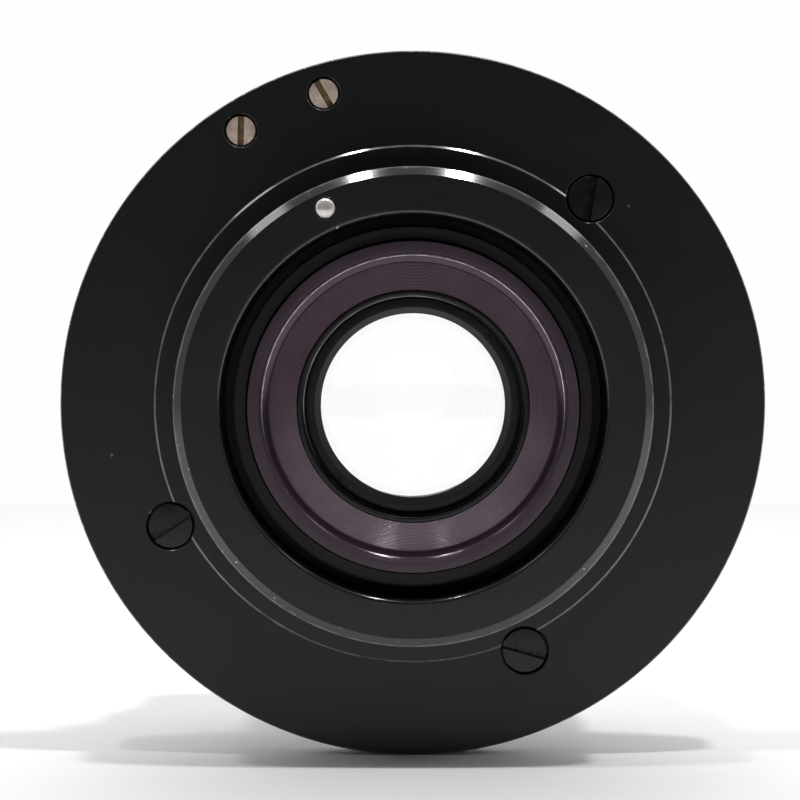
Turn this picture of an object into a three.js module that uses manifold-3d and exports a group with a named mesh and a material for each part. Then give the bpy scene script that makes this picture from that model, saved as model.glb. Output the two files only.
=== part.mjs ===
// Enlarging lens of about 75 mm f/4 on a round lens board.
//
// The optical axis is Y. The rear, with the seating spigot and the lamp side, faces -Y, the
// front with the aperture ring faces +Y, and +Z is up. The origin is on the optical axis, in
// the plane of the board's rear face. Lengths are in millimetres.
//
// A bearing is an angle in degrees round the optical axis, from +X towards +Z.

import * as THREE from 'three';
import { mergeVertices } from 'three/addons/utils/BufferGeometryUtils.js';
import Module from 'manifold-3d';

const wasm = await Module();
wasm.setup();

// ---------------------------------------------------------------- driving dimensions

const GAP = 0.3; // clearance between touching pieces

const board = { radius: 39, thickness: 5, chamfer: 0.35 };

const spigot = { radius: 25.75, faceRadius: 24.8, height: 9, bevelHeight: 1, mouthRadius: 20.7 };
const collarFlange = { radius: 28.45, thickness: 2.8, proud: 0.35 }; // proud of the board's rear face
const collarHub = { radius: 24.6, frontY: board.thickness - 0.2 };
const collarThread = { radius: 19.8, rearY: -4.2 };

const lensThread = { radius: 19.5, rearY: -6 }; // major radius of the 39 mm lens thread
const barrel = { radius: 22.3, shoulderY: 5.1, webY: 8.1, boreRadius: 20.6, frontY: 20.5 };

const baffle = { radius: 17.8, rearY: -8, lipRadius: 16.35, lipY: -6.3, frontY: -1.8 };
const bowl = { heelRadius: 15.6, heelY: -5.75, throatY: -5.25 };
const rearCell = { radius: 12.48, rearY: -5.3, boreRadius: 11.95, ledgeY: -1.2, seatY: 3.7, frontY: 4.5 };
const rearRing = { radius: 11.65, holeRadius: 10.1, rearY: -2.7, frontY: -1.55 };

const glass = { radius: 10.8, seatRadius: 11.1, clearRadius: 9.9, cementGap: 0.12 };
const rearCrown = { edgeRearY: -1.1, edgeFrontY: -0.3, rearCurve: 34, cementCurve: 26 };
const rearFlint = { edgeFrontY: 3.4, frontCurve: 150 };

const frontGlass = { radius: 10.2, seatRadius: 10.5, clearRadius: 9.6 };
const middleLens = { edgeRearY: 17.6, edgeFrontY: 22.5, rearCurve: 23, frontCurve: 48 };
const frontLens = { edgeRearY: 24.2, edgeFrontY: 26, rearCurve: 300, frontCurve: 24 };
const spacer = { rearY: 22.8, frontY: 23.9 };
const frontCell = { radius: 13.7, rearY: 16.6, seatY: 17.3, ledgeY: 26.1, flangeRadius: 15.5, frontY: 27.4 };
const frontRing = { radius: 12.3, holeRadius: 10, rearY: 26.3, frontY: 27.3 };
const frontBarrel = { plugRadius: 20.3, rearY: 16.3, flangeRadius: 24.6, flangeRearY: 20.8, hoodRadius: 23.4 };
const hood = { frontY: 31, threadRadius: 19.6, floorY: 27 };
const trimRing = { outerRadius: 19.3, innerRadius: 15.9, outerY: 28.6, innerY: 27.9, backY: 27.3 };

const bladeCount = 6;
const blade = {
  innerRadius: 9.7, // just clear of the light path when the iris is open
  outerRadius: 15.5,
  tabRadius: 17.4,
  pinCircle: 16.6, // both pins of an open blade lie on this circle
  pinRadius: 0.5,
  drivePinBearing: 13,
  startBearing: -4,
  tabEndBearing: 17,
  endBearing: 106,
  thickness: 0.22,
  pitch: 0.5, // from one blade's level to the next
  firstLevelY: 9.5,
};
const ringTravel = 50; // five click stops of 10 degrees
const bladeRatio = 0.55; // blade turn for each degree of the aperture ring

const irisHousing = { radius: 20.3, wall: 1, rearY: 8.4, floorThickness: 0.8, holeRadius: 9.9, frontY: 14.9 };
const actuator = { innerRadius: 10.2, outerRadius: 18.9, rearY: 12.5, plateThickness: 0.8, rimWidth: 0.8, frontY: 14.9 };
const irisRetainer = { innerRadius: 17, outerRadius: 20.2, rearY: 15.2, frontY: 16 };

const scaleRing = { boreRadius: 22.6, sleeveRadius: 24, skirtRadius: 27.2, rearY: 5.7, bevelY: 8.4, frontY: 20.4 };
const scaleBevel = { innerRadius: 25.2, frontY: 11.2 };
const grip = { innerRadius: 24.3, outerRadius: 26.6, rearY: 11.6, bevelY: 18.6, frontY: 20.1, frontRadius: 25 };

const driver = { bearing: 20, y: 14.1, tipRadius: 0.6, shankRadius: 0.8, headRadius: 1.4 };
const driverReach = { tip: 18.3, shoulder: 21, headSeat: 25.2, headTop: 26.2 };

const clickBall = { radius: 0.8, y: 6.9, centre: 21.6, travel: 0.25, bearing: 180 };
const clickBore = { radius: 1, depthRadius: 18 };
const clickSpring = { coilRadius: 0.55, wireRadius: 0.1, turns: 4, innerEnd: 18.35, outerEnd: 20.55 };

const clampScrews = [
  { bearing: 49.3, slot: 80 },
  { bearing: 206.6, slot: 33 },
  { bearing: 294.5, slot: -16 },
];
const clampScrew = { circle: 30, headRadius: 2.45, headHeight: 1.5, shankRadius: 1.25, length: 4.6, slot: 0.85 };
const clampSeat = { radius: 2.7, depth: 1.8 };

const indexScrews = [
  { bearing: 106, slot: 120 },
  { bearing: 122.1, slot: 88 },
];
const indexScrew = { circle: 35.7, headRadius: 1.62, headHeight: 1.3, shankRadius: 1, length: 7.15, slot: 0.7 };
const indexSeat = { radius: 1.93, depth: 1.85, headY: 0.25 };
const indexBlock = {
  bearing: 114,
  bodyInner: 32.6,
  bodyOuter: 38.2,
  bodyHalfAngle: 13.5,
  noseInner: 27.9,
  noseHalfAngle: 3.5,
  frontY: 8.4,
};

const locatingPin = { circle: 23.2, bearing: 113.8, radius: 1.05, topY: -9.9, footY: -3, domeHeight: 0.55 };

const gripScrewBearings = [80, 200, 320];
const gripScrew = { radius: 0.9, inner: 23.4, outer: 26, y: 16.6, slot: 0.3 };

const ROUND = 36; // sides of the large turned pieces
const SMALL_ROUND = 8; // sides of pins, shanks and their holes

// ---------------------------------------------------------------- materials

function finish(color, roughness, metalness) {
  return new THREE.MeshStandardMaterial({ color, roughness, metalness });
}

const satinBlack = finish(0x2a2a2b, 0.5, 0.6);
const agedBlack = finish(0x2b2626, 0.42, 0.6);
const plumBlack = finish(0x2a2428, 0.45, 0.6);
const agedPurple = finish(0x4d3f49, 0.38, 0.8);
const cellBlack = finish(0x1b1b1c, 0.4, 0.5);
const screwBlack = finish(0x222223, 0.35, 0.8);
const oldBrass = finish(0xa98a76, 0.35, 1);
const brightSteel = finish(0xb9b4a6, 0.15, 1);
const bladeSteel = finish(0x3a3b3d, 0.4, 0.9);
const springSteel = finish(0x8d8f90, 0.3, 1);
const coatedGlass = finish(0xe6eef0, 0.03, 0);

// ---------------------------------------------------------------- geometry helpers

const radians = THREE.MathUtils.degToRad;

// A point at a radius and bearing round the optical axis.
function around(radius, bearing, y = 0) {
  return new THREE.Vector3(radius * Math.cos(radians(bearing)), y, radius * Math.sin(radians(bearing)));
}

// A piece turned round the Y axis. Its [radius, y] outline starts and ends on the axis, or
// else is closed into a ring.
function turned(outline, sides = ROUND) {
  const points = outline.map(([radius, y]) => new THREE.Vector2(radius, y));
  if (THREE.ShapeUtils.area(points) < 0) points.reverse();
  const meetsAxis = points[0].x === 0 && points.at(-1).x === 0;
  if (!meetsAxis) points.push(points[0].clone());
  return new THREE.LatheGeometry(points, sides);
}

// A flat plate from yLow to yHigh. The shape's x and y become X and Z.
function plate(shape, yLow, yHigh, curveSegments = 10) {
  const depth = yHigh - yLow;
  const geometry = new THREE.ExtrudeGeometry(shape, { depth, bevelEnabled: false, curveSegments });
  return geometry.rotateX(Math.PI / 2).translate(0, yHigh, 0);
}

// A ring sector between two radii and two bearings.
function sectorShape(innerRadius, outerRadius, startBearing, endBearing) {
  const shape = new THREE.Shape();
  shape.absarc(0, 0, outerRadius, radians(startBearing), radians(endBearing), false);
  shape.absarc(0, 0, innerRadius, radians(endBearing), radians(startBearing), true);
  shape.closePath();
  return shape;
}

// A round rod along Y, centred on a point's X and Z.
function rod(radius, yLow, yHigh, place = new THREE.Vector3()) {
  const geometry = new THREE.CylinderGeometry(radius, radius, yHigh - yLow, SMALL_ROUND);
  return geometry.translate(place.x, (yLow + yHigh) / 2, place.z);
}

// A round rod that points straight out from the optical axis.
function spoke(radius, inner, outer, y, bearing) {
  const geometry = new THREE.CylinderGeometry(radius, radius, outer - inner, SMALL_ROUND);
  return geometry.rotateZ(-Math.PI / 2).translate((inner + outer) / 2, y, 0).rotateY(-radians(bearing));
}

function toSolid(geometry) {
  const bare = geometry.clone();
  bare.deleteAttribute('normal');
  bare.deleteAttribute('uv');
  const merged = mergeVertices(bare, 1e-4);
  const corners = [];
  for (let i = 0; i < merged.index.count; i += 3) {
    const triangle = [0, 1, 2].map((k) => merged.index.getX(i + k));
    if (new Set(triangle).size === 3) corners.push(...triangle);
  }
  return new wasm.Manifold(new wasm.Mesh({
    numProp: 3,
    vertProperties: new Float32Array(merged.attributes.position.array),
    triVerts: new Uint32Array(corners),
  }));
}

function toGeometry(solid) {
  const mesh = solid.getMesh();
  const geometry = new THREE.BufferGeometry();
  geometry.setAttribute('position', new THREE.BufferAttribute(mesh.vertProperties, 3));
  geometry.setIndex(new THREE.BufferAttribute(mesh.triVerts, 1));
  return geometry;
}

function cut(geometry, tools) {
  return toGeometry(tools.reduce((body, tool) => body.subtract(toSolid(tool)), toSolid(geometry)));
}

function join(geometry, additions) {
  return toGeometry(additions.reduce((body, extra) => body.add(toSolid(extra)), toSolid(geometry)));
}

const lens = new THREE.Group();
lens.name = 'enlarger_lens';

function place(name, geometry, material, parent = lens) {
  const mesh = new THREE.Mesh(geometry, material);
  mesh.name = name;
  parent.add(mesh);
  return mesh;
}

// ---------------------------------------------------------------- lens board and collar

// Seats of the clamp screws, which bite into both the board and the collar's flange.
function clampSeats() {
  return clampScrews.map(({ bearing }) => (
    rod(clampSeat.radius, -1, clampSeat.depth, around(clampScrew.circle, bearing))
  ));
}

function lensBoard() {
  const { radius, thickness, chamfer } = board;
  const recessRadius = collarFlange.radius + GAP;
  const recessY = collarFlange.thickness + GAP;
  const boreRadius = collarHub.radius + GAP;
  const disc = turned([
    [boreRadius, recessY],
    [recessRadius, recessY],
    [recessRadius, GAP],
    [recessRadius + GAP, 0],
    [radius - chamfer, 0],
    [radius, chamfer],
    [radius, thickness - chamfer],
    [radius - chamfer, thickness],
    [boreRadius, thickness],
  ]);
  const clampHoles = clampScrews.map(({ bearing }) => (
    rod(clampScrew.shankRadius + GAP, 1, thickness + 1, around(clampScrew.circle, bearing))
  ));
  const indexHoles = indexScrews.flatMap(({ bearing }) => {
    const centre = around(indexScrew.circle, bearing);
    return [
      rod(indexSeat.radius, -1, indexSeat.depth, centre),
      rod(indexScrew.shankRadius + GAP, 1, thickness + 1, centre),
    ];
  });
  return cut(disc, [...clampSeats(), ...clampHoles, ...indexHoles]);
}

function mountCollar() {
  const lip = 0.4;
  const ring = turned([
    [collarThread.radius, collarHub.frontY],
    [collarHub.radius, collarHub.frontY],
    [collarHub.radius, collarFlange.thickness],
    [collarFlange.radius, collarFlange.thickness],
    [collarFlange.radius, 0],
    [collarFlange.radius - collarFlange.proud, -collarFlange.proud],
    [spigot.radius, -collarFlange.proud],
    [spigot.radius, spigot.bevelHeight - spigot.height],
    [spigot.faceRadius, -spigot.height],
    [spigot.mouthRadius + lip, -spigot.height],
    [spigot.mouthRadius + lip / 4, lip / 4 - spigot.height],
    [spigot.mouthRadius, lip - spigot.height],
    [spigot.mouthRadius, collarThread.rearY],
    [collarThread.radius, collarThread.rearY],
  ]);
  const pinHole = rod(
    locatingPin.radius + GAP - 0.05,
    -spigot.height - 1,
    locatingPin.footY + GAP,
    around(locatingPin.circle, locatingPin.bearing),
  );
  return cut(ring, [...clampSeats(), pinHole]);
}

place('lens_board', lensBoard(), satinBlack);
place('mount_collar', mountCollar(), agedBlack);

// ---------------------------------------------------------------- screws and locating pin

// A slotted screw whose head starts at y = 0 and whose shank runs towards +Y.
function slottedScrew({ headRadius, headHeight, shankRadius, length, slot }) {
  const edge = 0.12;
  const slotDepth = headHeight * 0.5;
  const body = turned([
    [0, 0],
    [headRadius - edge, 0],
    [headRadius, edge],
    [headRadius, headHeight],
    [shankRadius, headHeight],
    [shankRadius, length],
    [0, length],
  ], 2 * SMALL_ROUND);
  return cut(body, [new THREE.BoxGeometry(3 * headRadius, 2 * slotDepth, slot)]);
}

function addBoardScrews(prefix, screws, size, headY, material) {
  screws.forEach(({ bearing, slot }, index) => {
    const mesh = place(`${prefix}_${index + 1}`, slottedScrew(size), material);
    mesh.position.copy(around(size.circle, bearing, headY));
    mesh.rotation.y = -radians(slot);
  });
}

addBoardScrews('clamp_screw', clampScrews, clampScrew, 0, screwBlack);
addBoardScrews('index_screw', indexScrews, indexScrew, indexSeat.headY, oldBrass);

function domedPin({ radius, topY, footY, domeHeight }) {
  const steps = [0, 1, 2, 3, 4].map((step) => radians(step * 22.5));
  const dome = steps.map((angle) => [
    angle === 0 ? 0 : radius * Math.sin(angle),
    topY + domeHeight * (1 - Math.cos(angle)),
  ]);
  return turned([...dome, [radius, footY], [0, footY]], 2 * SMALL_ROUND);
}

place('locating_pin', domedPin(locatingPin), brightSteel)
  .position.copy(around(locatingPin.circle, locatingPin.bearing));

// The block that carries the index line. It sits on the board's front face, and its nose
// reaches in to the aperture scale.
function indexBlockGeometry() {
  const { bearing, bodyInner, bodyOuter, bodyHalfAngle, noseInner, noseHalfAngle, frontY } = indexBlock;
  const shape = new THREE.Shape();
  const arc = (radius, from, to) => (
    shape.absarc(0, 0, radius, radians(bearing + from), radians(bearing + to), to < from)
  );
  arc(bodyOuter, -bodyHalfAngle, bodyHalfAngle);
  arc(bodyInner, bodyHalfAngle, noseHalfAngle);
  arc(noseInner, noseHalfAngle, -noseHalfAngle);
  arc(bodyInner, -noseHalfAngle, -bodyHalfAngle);
  shape.closePath();
  const rearY = board.thickness + GAP;
  const threads = indexScrews.map((screw) => (
    rod(indexScrew.shankRadius + GAP, rearY - 1, frontY - 0.7, around(indexScrew.circle, screw.bearing))
  ));
  return cut(plate(shape, rearY, frontY), threads);
}

place('index_block', indexBlockGeometry(), satinBlack);

// ---------------------------------------------------------------- rear of the lens

// The slot that the driver screw sweeps through a wall between two radii.
function driverSlot(innerRadius, outerRadius, yLow, yHigh) {
  const margin = 4.5;
  const shape = sectorShape(
    innerRadius,
    outerRadius,
    driver.bearing - margin,
    driver.bearing + ringTravel + margin,
  );
  return plate(shape, yLow, yHigh);
}

function lensBarrel() {
  const threadChamfer = 0.25;
  const tube = turned([
    [baffle.radius + GAP, lensThread.rearY],
    [lensThread.radius - threadChamfer, lensThread.rearY],
    [lensThread.radius, lensThread.rearY + threadChamfer],
    [lensThread.radius, barrel.shoulderY],
    [barrel.radius, barrel.shoulderY],
    [barrel.radius, barrel.frontY],
    [barrel.boreRadius, barrel.frontY],
    [barrel.boreRadius, barrel.webY],
    [baffleThroat(), barrel.webY],
    [baffleThroat(), baffle.frontY + GAP],
    [baffle.radius + GAP, baffle.frontY + GAP],
  ]);
  const halfSlot = driver.shankRadius + GAP;
  return cut(tube, [
    driverSlot(barrel.boreRadius - 1, barrel.radius + 1, driver.y - halfSlot, driver.y + halfSlot),
    spoke(clickBore.radius, clickBore.depthRadius, barrel.radius + 1, clickBall.y, clickBall.bearing),
  ]);
}

function baffleThroat() {
  return rearCell.radius + GAP + 0.02;
}

// The light baffle round the rear cell: a flat rim, a lip, a short slope inside the lip and a
// shallow bowl down to the cell.
function rearBaffle() {
  const { radius, rearY, lipRadius, lipY, frontY } = baffle;
  const throat = baffleThroat();
  return turned([
    [throat, frontY],
    [radius, frontY],
    [radius, rearY + 0.2],
    [radius - 0.2, rearY],
    [lipRadius + 0.5, rearY],
    [lipRadius + 0.15, rearY + 0.35],
    [lipRadius, lipY],
    [bowl.heelRadius, bowl.heelY],
    [throat, bowl.throatY],
  ]);
}

function rearCellTube() {
  const { radius, rearY, boreRadius, ledgeY, seatY, frontY } = rearCell;
  return turned([
    [boreRadius, rearY + 0.15],
    [boreRadius + 0.15, rearY],
    [radius - 0.1, rearY],
    [radius, rearY + 0.1],
    [radius, frontY],
    [glass.clearRadius, frontY],
    [glass.clearRadius, seatY],
    [glass.seatRadius, seatY],
    [glass.seatRadius, ledgeY],
    [boreRadius, ledgeY],
  ]);
}

// A threaded ring that holds glass in a cell, with two spanner slots across its outer face.
function spannerRing({ radius, holeRadius, rearY, frontY }, outerFace, slotBearing) {
  const facesRear = outerFace === 'rear';
  const faceY = facesRear ? rearY : frontY;
  const backY = facesRear ? frontY : rearY;
  const coneWidth = 0.65;
  const ring = turned([
    [holeRadius, backY],
    [radius, backY],
    [radius, faceY],
    [holeRadius + coneWidth, faceY],
    [holeRadius, (faceY + backY) / 2],
  ]);
  const slotWidth = 1.1;
  const slotDepth = Math.abs(faceY - backY) * 0.6;
  const slot = new THREE.BoxGeometry(3 * radius, 2 * slotDepth, slotWidth);
  return cut(ring, [slot.rotateY(-radians(slotBearing)).translate(0, faceY, 0)]);
}

place('lens_barrel', lensBarrel(), plumBlack);
place('rear_baffle', rearBaffle(), agedPurple);
place('rear_cell', rearCellTube(), cellBlack);
place('rear_retaining_ring', spannerRing(rearRing, 'rear', 44), cellBlack);

// ---------------------------------------------------------------- glass

// Points of a spherical face from the axis out to an edge. sag is positive where the vertex
// lies on the rear side of the edge.
function sphericalFace(edgeRadius, edgeY, curve, bulge, steps = 3) {
  const depth = (radius) => curve - Math.sqrt(curve * curve - radius * radius);
  const edgeDepth = depth(edgeRadius);
  return Array.from({ length: steps + 1 }, (_, step) => {
    const radius = (edgeRadius * step) / steps;
    return [radius, edgeY + bulge * (edgeDepth - depth(radius))];
  });
}

const TOWARDS_REAR = -1;
const TOWARDS_FRONT = 1;

// An element between two spherical faces, each given by the Y of its edge, its radius of
// curvature and the side its vertex lies on.
function element(edgeRadius, rear, front) {
  const sides = 24;
  const rearFace = sphericalFace(edgeRadius, rear.edgeY, rear.curve, rear.bulge);
  const frontFace = sphericalFace(edgeRadius, front.edgeY, front.curve, front.bulge);
  return turned([...rearFace, ...frontFace.reverse()], sides);
}

const crownGlass = element(
  glass.radius,
  { edgeY: rearCrown.edgeRearY, curve: rearCrown.rearCurve, bulge: TOWARDS_REAR },
  { edgeY: rearCrown.edgeFrontY, curve: rearCrown.cementCurve, bulge: TOWARDS_FRONT },
);
const flintGlass = element(
  glass.radius,
  { edgeY: rearCrown.edgeFrontY + glass.cementGap, curve: rearCrown.cementCurve, bulge: TOWARDS_FRONT },
  { edgeY: rearFlint.edgeFrontY, curve: rearFlint.frontCurve, bulge: TOWARDS_REAR },
);
const middleGlass = element(
  frontGlass.radius,
  { edgeY: middleLens.edgeRearY, curve: middleLens.rearCurve, bulge: TOWARDS_FRONT },
  { edgeY: middleLens.edgeFrontY, curve: middleLens.frontCurve, bulge: TOWARDS_REAR },
);
const frontElement = element(
  frontGlass.radius,
  { edgeY: frontLens.edgeRearY, curve: frontLens.rearCurve, bulge: TOWARDS_REAR },
  { edgeY: frontLens.edgeFrontY, curve: frontLens.frontCurve, bulge: TOWARDS_FRONT },
);

place('rear_crown_element', crownGlass, coatedGlass);
place('rear_flint_element', flintGlass, coatedGlass);
place('middle_element', middleGlass, coatedGlass);
place('front_element', frontElement, coatedGlass);

// ---------------------------------------------------------------- iris

function irisHousingCup() {
  const { radius, wall, rearY, floorThickness, holeRadius, frontY } = irisHousing;
  const floorY = rearY + floorThickness;
  const cup = turned([
    [holeRadius, rearY],
    [radius, rearY],
    [radius, frontY],
    [radius - wall, frontY],
    [radius - wall, floorY],
    [holeRadius, floorY],
  ]);
  const pivotHoles = bladeBearings().map((bearing) => (
    rod(blade.pinRadius + GAP, rearY - 1, floorY + 1, around(blade.pinCircle, bearing))
  ));
  const slotY = driver.y - driver.shankRadius - GAP;
  return cut(cup, [...pivotHoles, driverSlot(radius - wall - 0.5, radius + 0.5, slotY, frontY + 1)]);
}

function bladeBearings() {
  return Array.from({ length: bladeCount }, (_, index) => (index * 360) / bladeCount);
}

// A blade with its pivot at bearing 0, on its own level between the housing and the
// actuator. The pivot pin points to the housing and the drive pin to the actuator.
function irisBlade(level) {
  const { innerRadius, outerRadius, tabRadius, startBearing, tabEndBearing, endBearing } = blade;
  const shape = new THREE.Shape();
  shape.absarc(0, 0, tabRadius, radians(startBearing), radians(tabEndBearing), false);
  shape.absarc(0, 0, outerRadius, radians(tabEndBearing), radians(endBearing), false);
  shape.absarc(0, 0, innerRadius, radians(endBearing), radians(startBearing), true);
  shape.closePath();
  const rearY = blade.firstLevelY + level * blade.pitch;
  const frontY = rearY + blade.thickness;
  const pivotPin = rod(blade.pinRadius, irisHousing.rearY + 0.3, frontY, around(blade.pinCircle, 0));
  const driveEnd = actuator.rearY + actuator.plateThickness - 0.2;
  const drivePin = rod(blade.pinRadius, rearY, driveEnd, around(blade.pinCircle, blade.drivePinBearing));
  return join(plate(shape, rearY, frontY, 8), [pivotPin, drivePin]);
}

// Where a drive pin sits in the actuator's plate once the aperture ring has turned.
function drivePinInActuator(ringAngle) {
  const pivot = new THREE.Vector2(blade.pinCircle, 0);
  const pin = pivot.clone().rotateAround(new THREE.Vector2(), radians(blade.drivePinBearing));
  pin.rotateAround(pivot, radians(ringAngle * bladeRatio));
  return pin.rotateAround(new THREE.Vector2(), -radians(ringAngle));
}

// A cam slot along the drive pin's whole path, one clearance wider than the pin all round.
function camSlot() {
  const steps = 10;
  const halfWidth = blade.pinRadius + GAP;
  const overrun = 3;
  const path = Array.from({ length: steps + 1 }, (_, step) => (
    drivePinInActuator(-overrun + (step * (ringTravel + 2 * overrun)) / steps)
  ));
  const side = (sign) => path.map((point, index) => {
    const before = path[Math.max(index - 1, 0)];
    const after = path[Math.min(index + 1, steps)];
    const along = after.clone().sub(before).normalize();
    return new THREE.Vector2(point.x - sign * along.y * halfWidth, point.y + sign * along.x * halfWidth);
  });
  return new THREE.Shape([...side(1), ...side(-1).reverse()]);
}

function irisActuator() {
  const { innerRadius, outerRadius, rearY, plateThickness, rimWidth, frontY } = actuator;
  const plateY = rearY + plateThickness;
  const ring = turned([
    [innerRadius, rearY],
    [outerRadius, rearY],
    [outerRadius, frontY],
    [outerRadius - rimWidth, frontY],
    [outerRadius - rimWidth, plateY],
    [innerRadius, plateY],
  ]);
  const slots = bladeBearings().map((bearing) => (
    plate(camSlot(), rearY - 1, plateY + 1).rotateY(-radians(bearing))
  ));
  const notchWidth = 2 * (driver.tipRadius + GAP);
  const notchDepth = frontY - plateY;
  const notch = new THREE.BoxGeometry(2 * rimWidth + 2, notchDepth, notchWidth)
    .translate(outerRadius - rimWidth / 2, plateY + notchDepth / 2 + 0.05, 0)
    .rotateY(-radians(driver.bearing));
  return cut(ring, [...slots, notch]);
}

function flatRing(innerRadius, outerRadius, rearY, frontY) {
  return turned([
    [innerRadius, rearY],
    [outerRadius, rearY],
    [outerRadius, frontY],
    [innerRadius, frontY],
  ]);
}

place('iris_housing', irisHousingCup(), cellBlack);
bladeBearings().forEach((bearing, level) => {
  place(`iris_blade_${level + 1}`, irisBlade(level), bladeSteel).rotation.y = -radians(bearing);
});
place('iris_actuator_ring', irisActuator(), cellBlack);
place(
  'iris_retainer',
  flatRing(irisRetainer.innerRadius, irisRetainer.outerRadius, irisRetainer.rearY, irisRetainer.frontY),
  cellBlack,
);

// ---------------------------------------------------------------- aperture ring

// The driver screw's stepped shape, as [radius, distance from the optical axis].
function driverScrewGeometry() {
  const { tipRadius, shankRadius, headRadius } = driver;
  const { tip, shoulder, headSeat, headTop } = driverReach;
  const body = turned([
    [0, tip],
    [tipRadius, tip],
    [tipRadius, shoulder],
    [shankRadius, shoulder],
    [shankRadius, headSeat],
    [headRadius, headSeat],
    [headRadius, headTop],
    [0, headTop],
  ], SMALL_ROUND);
  const slot = new THREE.BoxGeometry(4 * headRadius, 0.8, 0.4).translate(0, headTop, 0);
  return cut(body, [slot]).rotateZ(-Math.PI / 2);
}

function scaleRingGeometry() {
  const { boreRadius, sleeveRadius, skirtRadius, rearY, bevelY, frontY } = scaleRing;
  const ring = turned([
    [boreRadius, rearY],
    [skirtRadius - 0.25, rearY],
    [skirtRadius, rearY + 0.25],
    [skirtRadius, bevelY],
    [scaleBevel.innerRadius, scaleBevel.frontY],
    [sleeveRadius, scaleBevel.frontY],
    [sleeveRadius, frontY],
    [boreRadius, frontY],
  ]);
  const detents = Array.from({ length: 6 }, (_, stop) => {
    const dimple = new THREE.SphereGeometry(clickBall.radius + clickBall.travel, SMALL_ROUND, SMALL_ROUND);
    const bearing = clickBall.bearing - (stop * ringTravel) / 5;
    const centre = around(clickBall.centre + clickBall.travel, bearing, clickBall.y);
    return dimple.translate(centre.x, centre.y, centre.z);
  });
  const driverHole = spoke(driver.shankRadius + GAP, boreRadius - 1, sleeveRadius + 1, driver.y, driver.bearing);
  const gripHoles = gripScrewBearings.map((bearing) => (
    spoke(gripScrew.radius + GAP, gripScrew.inner - GAP, sleeveRadius + 1, gripScrew.y, bearing)
  ));
  return cut(ring, [...detents, driverHole, ...gripHoles]);
}

function gripGeometry() {
  const { innerRadius, outerRadius, rearY, bevelY, frontY, frontRadius } = grip;
  const ring = turned([
    [innerRadius, rearY],
    [outerRadius - 0.3, rearY],
    [outerRadius, rearY + 0.3],
    [outerRadius, bevelY],
    [frontRadius, frontY],
    [innerRadius, frontY],
  ]);
  const driverHoles = [
    spoke(driver.shankRadius + GAP, innerRadius - 1, outerRadius + 1, driver.y, driver.bearing),
    spoke(driver.headRadius + GAP, driverReach.headSeat - GAP, outerRadius + 1, driver.y, driver.bearing),
  ];
  const gripHoles = gripScrewBearings.map((bearing) => (
    spoke(gripScrew.radius + GAP, innerRadius - 1, outerRadius + 1, gripScrew.y, bearing)
  ));
  return cut(ring, [...driverHoles, ...gripHoles]);
}

// A headless screw that points out from the optical axis, with its slot at the outer end.
function grubScrewGeometry() {
  const { radius, inner, outer, slot } = gripScrew;
  const body = new THREE.CylinderGeometry(radius, radius, outer - inner, SMALL_ROUND)
    .translate(0, (inner + outer) / 2, 0);
  return cut(body, [new THREE.BoxGeometry(4 * radius, 1, slot).translate(0, outer, 0)]).rotateZ(-Math.PI / 2);
}

function addSpokePiece(name, geometry, material, y, bearing) {
  const mesh = place(name, geometry, material);
  mesh.position.y = y;
  mesh.rotation.y = -radians(bearing);
}

place('scale_ring', scaleRingGeometry(), satinBlack);
place('aperture_ring_grip', gripGeometry(), satinBlack);
addSpokePiece('iris_driver_screw', driverScrewGeometry(), screwBlack, driver.y, driver.bearing);
gripScrewBearings.forEach((bearing, index) => {
  addSpokePiece(`grip_screw_${index + 1}`, grubScrewGeometry(), screwBlack, gripScrew.y, bearing);
});

// ---------------------------------------------------------------- click stop

function coilSpring({ coilRadius, wireRadius, turns, innerEnd, outerEnd }) {
  const stepsPerTurn = 6;
  const steps = turns * stepsPerTurn;
  const points = Array.from({ length: steps + 1 }, (_, step) => {
    const angle = (2 * Math.PI * step) / stepsPerTurn;
    const reach = innerEnd + ((outerEnd - innerEnd) * step) / steps;
    return new THREE.Vector3(reach, coilRadius * Math.cos(angle), coilRadius * Math.sin(angle));
  });
  const section = new THREE.Shape();
  section.absarc(0, 0, wireRadius, 0, 2 * Math.PI, false);
  return new THREE.ExtrudeGeometry(section, {
    steps,
    curveSegments: 4,
    bevelEnabled: false,
    extrudePath: new THREE.CatmullRomCurve3(points),
  });
}

addSpokePiece(
  'click_ball',
  new THREE.SphereGeometry(clickBall.radius, SMALL_ROUND, SMALL_ROUND).translate(clickBall.centre, 0, 0),
  brightSteel,
  clickBall.y,
  clickBall.bearing,
);
addSpokePiece('click_spring', coilSpring(clickSpring), springSteel, clickBall.y, clickBall.bearing);

// ---------------------------------------------------------------- front of the lens

function frontBarrelGeometry() {
  const { plugRadius, rearY, flangeRadius, flangeRearY, hoodRadius } = frontBarrel;
  const cellBore = frontCell.radius + GAP;
  const cellRecess = frontCell.flangeRadius + GAP;
  const recessY = frontCell.ledgeY - GAP;
  return turned([
    [cellBore, rearY],
    [plugRadius, rearY],
    [plugRadius, flangeRearY],
    [flangeRadius, flangeRearY],
    [flangeRadius, flangeRearY + 1.4],
    [hoodRadius, flangeRearY + 1.9],
    [hoodRadius, hood.frontY - 0.3],
    [hoodRadius - 0.3, hood.frontY],
    [hood.threadRadius + 0.3, hood.frontY],
    [hood.threadRadius, hood.frontY - 0.3],
    [hood.threadRadius, hood.floorY],
    [cellRecess, hood.floorY],
    [cellRecess, recessY],
    [cellBore, recessY],
  ]);
}

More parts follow.
